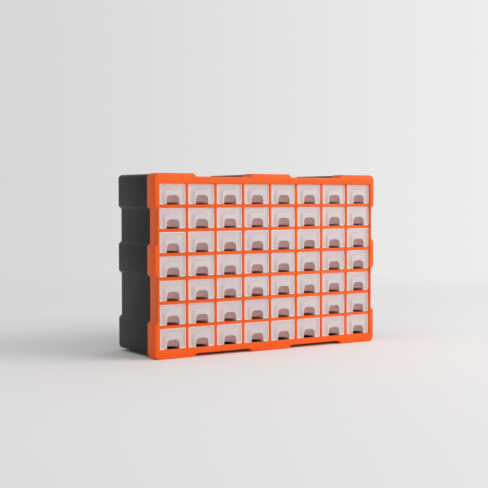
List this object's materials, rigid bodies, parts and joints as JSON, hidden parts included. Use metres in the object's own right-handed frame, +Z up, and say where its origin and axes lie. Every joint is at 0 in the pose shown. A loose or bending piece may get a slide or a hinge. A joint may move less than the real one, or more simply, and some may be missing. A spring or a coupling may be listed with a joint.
{
  "type": "small parts drawer cabinet",
  "caption": "Wide shallow cabinet of small translucent drawers in a dark moulded housing with a bright orange front frame.",
  "frame": {"origin": "centre of the footprint, on the surface the cabinet stands on", "axes": "+Z up, -Y towards the drawer fronts, +X along the width, to the right as seen from the front"},
  "size_m": [0.52, 0.165, 0.35],
  "materials": {
    "housing_plastic": "fine textured matte moulding, near black",
    "foot_rubber": "soft matte black",
    "orange_plastic": "satin moulding, bright orange",
    "clear_drawer_plastic": "frosted translucent moulding"
  },
  "bodies": {
    "cabinet": {"housing": "housing_plastic", "front_frame": "orange_plastic", "divider_grid": "orange_plastic", "rear_feet": "foot_rubber"},
    "drawer_r1_c1": {"drawer_r1_c1": "clear_drawer_plastic"},
    "drawer_r1_c2": {"drawer_r1_c2": "clear_drawer_plastic"},
    "drawer_r1_c3": {"drawer_r1_c3": "clear_drawer_plastic"},
    "drawer_r1_c4": {"drawer_r1_c4": "clear_drawer_plastic"},
    "drawer_r1_c5": {"drawer_r1_c5": "clear_drawer_plastic"},
    "drawer_r1_c6": {"drawer_r1_c6": "clear_drawer_plastic"},
    "drawer_r1_c7": {"drawer_r1_c7": "clear_drawer_plastic"},
    "drawer_r1_c8": {"drawer_r1_c8": "clear_drawer_plastic"},
    "drawer_r2_c1": {"drawer_r2_c1": "clear_drawer_plastic"},
    "drawer_r2_c2": {"drawer_r2_c2": "clear_drawer_plastic"},
    "drawer_r2_c3": {"drawer_r2_c3": "clear_drawer_plastic"},
    "drawer_r2_c4": {"drawer_r2_c4": "clear_drawer_plastic"},
    "drawer_r2_c5": {"drawer_r2_c5": "clear_drawer_plastic"},
    "drawer_r2_c6": {"drawer_r2_c6": "clear_drawer_plastic"},
    "drawer_r2_c7": {"drawer_r2_c7": "clear_drawer_plastic"},
    "drawer_r2_c8": {"drawer_r2_c8": "clear_drawer_plastic"},
    "drawer_r3_c1": {"drawer_r3_c1": "clear_drawer_plastic"},
    "drawer_r3_c2": {"drawer_r3_c2": "clear_drawer_plastic"},
    "drawer_r3_c3": {"drawer_r3_c3": "clear_drawer_plastic"},
    "drawer_r3_c4": {"drawer_r3_c4": "clear_drawer_plastic"},
    "drawer_r3_c5": {"drawer_r3_c5": "clear_drawer_plastic"},
    "drawer_r3_c6": {"drawer_r3_c6": "clear_drawer_plastic"},
    "drawer_r3_c7": {"drawer_r3_c7": "clear_drawer_plastic"},
    "drawer_r3_c8": {"drawer_r3_c8": "clear_drawer_plastic"},
    "drawer_r4_c1": {"drawer_r4_c1": "clear_drawer_plastic"},
    "drawer_r4_c2": {"drawer_r4_c2": "clear_drawer_plastic"},
    "drawer_r4_c3": {"drawer_r4_c3": "clear_drawer_plastic"},
    "drawer_r4_c4": {"drawer_r4_c4": "clear_drawer_plastic"},
    "drawer_r4_c5": {"drawer_r4_c5": "clear_drawer_plastic"},
    "drawer_r4_c6": {"drawer_r4_c6": "clear_drawer_plastic"},
    "drawer_r4_c7": {"drawer_r4_c7": "clear_drawer_plastic"},
    "drawer_r4_c8": {"drawer_r4_c8": "clear_drawer_plastic"},
    "drawer_r5_c1": {"drawer_r5_c1": "clear_drawer_plastic"},
    "drawer_r5_c2": {"drawer_r5_c2": "clear_drawer_plastic"},
    "drawer_r5_c3": {"drawer_r5_c3": "clear_drawer_plastic"},
    "drawer_r5_c4": {"drawer_r5_c4": "clear_drawer_plastic"},
    "drawer_r5_c5": {"drawer_r5_c5": "clear_drawer_plastic"},
    "drawer_r5_c6": {"drawer_r5_c6": "clear_drawer_plastic"},
    "drawer_r5_c7": {"drawer_r5_c7": "clear_drawer_plastic"},
    "drawer_r5_c8": {"drawer_r5_c8": "clear_drawer_plastic"},
    "drawer_r6_c1": {"drawer_r6_c1": "clear_drawer_plastic"},
    "drawer_r6_c2": {"drawer_r6_c2": "clear_drawer_plastic"},
    "drawer_r6_c3": {"drawer_r6_c3": "clear_drawer_plastic"},
    "drawer_r6_c4": {"drawer_r6_c4": "clear_drawer_plastic"},
    "drawer_r6_c5": {"drawer_r6_c5": "clear_drawer_plastic"},
    "drawer_r6_c6": {"drawer_r6_c6": "clear_drawer_plastic"},
    "drawer_r6_c7": {"drawer_r6_c7": "clear_drawer_plastic"},
    "drawer_r6_c8": {"drawer_r6_c8": "clear_drawer_plastic"},
    "drawer_r7_c1": {"drawer_r7_c1": "clear_drawer_plastic"},
    "drawer_r7_c2": {"drawer_r7_c2": "clear_drawer_plastic"},
    "drawer_r7_c3": {"drawer_r7_c3": "clear_drawer_plastic"},
    "drawer_r7_c4": {"drawer_r7_c4": "clear_drawer_plastic"},
    "drawer_r7_c5": {"drawer_r7_c5": "clear_drawer_plastic"},
    "drawer_r7_c6": {"drawer_r7_c6": "clear_drawer_plastic"},
    "drawer_r7_c7": {"drawer_r7_c7": "clear_drawer_plastic"},
    "drawer_r7_c8": {"drawer_r7_c8": "clear_drawer_plastic"}
  },
  "joints": [
    {"name": "drawer_r1_c1_slide", "type": "slide", "parent": "cabinet", "child": "drawer_r1_c1", "axis": [0, -1, 0], "range_m": [0, 0.135]},
    {"name": "drawer_r1_c2_slide", "type": "slide", "parent": "cabinet", "child": "drawer_r1_c2", "axis": [0, -1, 0], "range_m": [0, 0.135]},
    {"name": "drawer_r1_c3_slide", "type": "slide", "parent": "cabinet", "child": "drawer_r1_c3", "axis": [0, -1, 0], "range_m": [0, 0.135]},
    {"name": "drawer_r1_c4_slide", "type": "slide", "parent": "cabinet", "child": "drawer_r1_c4", "axis": [0, -1, 0], "range_m": [0, 0.135]},
    {"name": "drawer_r1_c5_slide", "type": "slide", "parent": "cabinet", "child": "drawer_r1_c5", "axis": [0, -1, 0], "range_m": [0, 0.135]},
    {"name": "drawer_r1_c6_slide", "type": "slide", "parent": "cabinet", "child": "drawer_r1_c6", "axis": [0, -1, 0], "range_m": [0, 0.135]},
    {"name": "drawer_r1_c7_slide", "type": "slide", "parent": "cabinet", "child": "drawer_r1_c7", "axis": [0, -1, 0], "range_m": [0, 0.135]},
    {"name": "drawer_r1_c8_slide", "type": "slide", "parent": "cabinet", "child": "drawer_r1_c8", "axis": [0, -1, 0], "range_m": [0, 0.135]},
    {"name": "drawer_r2_c1_slide", "type": "slide", "parent": "cabinet", "child": "drawer_r2_c1", "axis": [0, -1, 0], "range_m": [0, 0.135]},
    {"name": "drawer_r2_c2_slide", "type": "slide", "parent": "cabinet", "child": "drawer_r2_c2", "axis": [0, -1, 0], "range_m": [0, 0.135]},
    {"name": "drawer_r2_c3_slide", "type": "slide", "parent": "cabinet", "child": "drawer_r2_c3", "axis": [0, -1, 0], "range_m": [0, 0.135]},
    {"name": "drawer_r2_c4_slide", "type": "slide", "parent": "cabinet", "child": "drawer_r2_c4", "axis": [0, -1, 0], "range_m": [0, 0.135]},
    {"name": "drawer_r2_c5_slide", "type": "slide", "parent": "cabinet", "child": "drawer_r2_c5", "axis": [0, -1, 0], "range_m": [0, 0.135]},
    {"name": "drawer_r2_c6_slide", "type": "slide", "parent": "cabinet", "child": "drawer_r2_c6", "axis": [0, -1, 0], "range_m": [0, 0.135]},
    {"name": "drawer_r2_c7_slide", "type": "slide", "parent": "cabinet", "child": "drawer_r2_c7", "axis": [0, -1, 0], "range_m": [0, 0.135]},
    {"name": "drawer_r2_c8_slide", "type": "slide", "parent": "cabinet", "child": "drawer_r2_c8", "axis": [0, -1, 0], "range_m": [0, 0.135]},
    {"name": "drawer_r3_c1_slide", "type": "slide", "parent": "cabinet", "child": "drawer_r3_c1", "axis": [0, -1, 0], "range_m": [0, 0.135]},
    {"name": "drawer_r3_c2_slide", "type": "slide", "parent": "cabinet", "child": "drawer_r3_c2", "axis": [0, -1, 0], "range_m": [0, 0.135]},
    {"name": "drawer_r3_c3_slide", "type": "slide", "parent": "cabinet", "child": "drawer_r3_c3", "axis": [0, -1, 0], "range_m": [0, 0.135]},
    {"name": "drawer_r3_c4_slide", "type": "slide", "parent": "cabinet", "child": "drawer_r3_c4", "axis": [0, -1, 0], "range_m": [0, 0.135]},
    {"name": "drawer_r3_c5_slide", "type": "slide", "parent": "cabinet", "child": "drawer_r3_c5", "axis": [0, -1, 0], "range_m": [0, 0.135]},
    {"name": "drawer_r3_c6_slide", "type": "slide", "parent": "cabinet", "child": "drawer_r3_c6", "axis": [0, -1, 0], "range_m": [0, 0.135]},
    {"name": "drawer_r3_c7_slide", "type": "slide", "parent": "cabinet", "child": "drawer_r3_c7", "axis": [0, -1, 0], "range_m": [0, 0.135]},
    {"name": "drawer_r3_c8_slide", "type": "slide", "parent": "cabinet", "child": "drawer_r3_c8", "axis": [0, -1, 0], "range_m": [0, 0.135]},
    {"name": "drawer_r4_c1_slide", "type": "slide", "parent": "cabinet", "child": "drawer_r4_c1", "axis": [0, -1, 0], "range_m": [0, 0.135]},
    {"name": "drawer_r4_c2_slide", "type": "slide", "parent": "cabinet", "child": "drawer_r4_c2", "axis": [0, -1, 0], "range_m": [0, 0.135]},
    {"name": "drawer_r4_c3_slide", "type": "slide", "parent": "cabinet", "child": "drawer_r4_c3", "axis": [0, -1, 0], "range_m": [0, 0.135]},
    {"name": "drawer_r4_c4_slide", "type": "slide", "parent": "cabinet", "child": "drawer_r4_c4", "axis": [0, -1, 0], "range_m": [0, 0.135]},
    {"name": "drawer_r4_c5_slide", "type": "slide", "parent": "cabinet", "child": "drawer_r4_c5", "axis": [0, -1, 0], "range_m": [0, 0.135]},
    {"name": "drawer_r4_c6_slide", "type": "slide", "parent": "cabinet", "child": "drawer_r4_c6", "axis": [0, -1, 0], "range_m": [0, 0.135]},
    {"name": "drawer_r4_c7_slide", "type": "slide", "parent": "cabinet", "child": "drawer_r4_c7", "axis": [0, -1, 0], "range_m": [0, 0.135]},
    {"name": "drawer_r4_c8_slide", "type": "slide", "parent": "cabinet", "child": "drawer_r4_c8", "axis": [0, -1, 0], "range_m": [0, 0.135]},
    {"name": "drawer_r5_c1_slide", "type": "slide", "parent": "cabinet", "child": "drawer_r5_c1", "axis": [0, -1, 0], "range_m": [0, 0.135]},
    {"name": "drawer_r5_c2_slide", "type": "slide", "parent": "cabinet", "child": "drawer_r5_c2", "axis": [0, -1, 0], "range_m": [0, 0.135]},
    {"name": "drawer_r5_c3_slide", "type": "slide", "parent": "cabinet", "child": "drawer_r5_c3", "axis": [0, -1, 0], "range_m": [0, 0.135]},
    {"name": "drawer_r5_c4_slide", "type": "slide", "parent": "cabinet", "child": "drawer_r5_c4", "axis": [0, -1, 0], "range_m": [0, 0.135]},
    {"name": "drawer_r5_c5_slide", "type": "slide", "parent": "cabinet", "child": "drawer_r5_c5", "axis": [0, -1, 0], "range_m": [0, 0.135]},
    {"name": "drawer_r5_c6_slide", "type": "slide", "parent": "cabinet", "child": "drawer_r5_c6", "axis": [0, -1, 0], "range_m": [0, 0.135]},
    {"name": "drawer_r5_c7_slide", "type": "slide", "parent": "cabinet", "child": "drawer_r5_c7", "axis": [0, -1, 0], "range_m": [0, 0.135]},
    {"name": "drawer_r5_c8_slide", "type": "slide", "parent": "cabinet", "child": "drawer_r5_c8", "axis": [0, -1, 0], "range_m": [0, 0.135]},
    {"name": "drawer_r6_c1_slide", "type": "slide", "parent": "cabinet", "child": "drawer_r6_c1", "axis": [0, -1, 0], "range_m": [0, 0.135]},
    {"name": "drawer_r6_c2_slide", "type": "slide", "parent": "cabinet", "child": "drawer_r6_c2", "axis": [0, -1, 0], "range_m": [0, 0.135]},
    {"name": "drawer_r6_c3_slide", "type": "slide", "parent": "cabinet", "child": "drawer_r6_c3", "axis": [0, -1, 0], "range_m": [0, 0.135]},
    {"name": "drawer_r6_c4_slide", "type": "slide", "parent": "cabinet", "child": "drawer_r6_c4", "axis": [0, -1, 0], "range_m": [0, 0.135]},
    {"name": "drawer_r6_c5_slide", "type": "slide", "parent": "cabinet", "child": "drawer_r6_c5", "axis": [0, -1, 0], "range_m": [0, 0.135]},
    {"name": "drawer_r6_c6_slide", "type": "slide", "parent": "cabinet", "child": "drawer_r6_c6", "axis": [0, -1, 0], "range_m": [0, 0.135]},
    {"name": "drawer_r6_c7_slide", "type": "slide", "parent": "cabinet", "child": "drawer_r6_c7", "axis": [0, -1, 0], "range_m": [0, 0.135]},
    {"name": "drawer_r6_c8_slide", "type": "slide", "parent": "cabinet", "child": "drawer_r6_c8", "axis": [0, -1, 0], "range_m": [0, 0.135]},
    {"name": "drawer_r7_c1_slide", "type": "slide", "parent": "cabinet", "child": "drawer_r7_c1", "axis": [0, -1, 0], "range_m": [0, 0.135]},
    {"name": "drawer_r7_c2_slide", "type": "slide", "parent": "cabinet", "child": "drawer_r7_c2", "axis": [0, -1, 0], "range_m": [0, 0.135]},
    {"name": "drawer_r7_c3_slide", "type": "slide", "parent": "cabinet", "child": "drawer_r7_c3", "axis": [0, -1, 0], "range_m": [0, 0.135]},
    {"name": "drawer_r7_c4_slide", "type": "slide", "parent": "cabinet", "child": "drawer_r7_c4", "axis": [0, -1, 0], "range_m": [0, 0.135]},
    {"name": "drawer_r7_c5_slide", "type": "slide", "parent": "cabinet", "child": "drawer_r7_c5", "axis": [0, -1, 0], "range_m": [0, 0.135]},
    {"name": "drawer_r7_c6_slide", "type": "slide", "parent": "cabinet", "child": "drawer_r7_c6", "axis": [0, -1, 0], "range_m": [0, 0.135]},
    {"name": "drawer_r7_c7_slide", "type": "slide", "parent": "cabinet", "child": "drawer_r7_c7", "axis": [0, -1, 0], "range_m": [0, 0.135]},
    {"name": "drawer_r7_c8_slide", "type": "slide", "parent": "cabinet", "child": "drawer_r7_c8", "axis": [0, -1, 0], "range_m": [0, 0.135]}
  ]
}
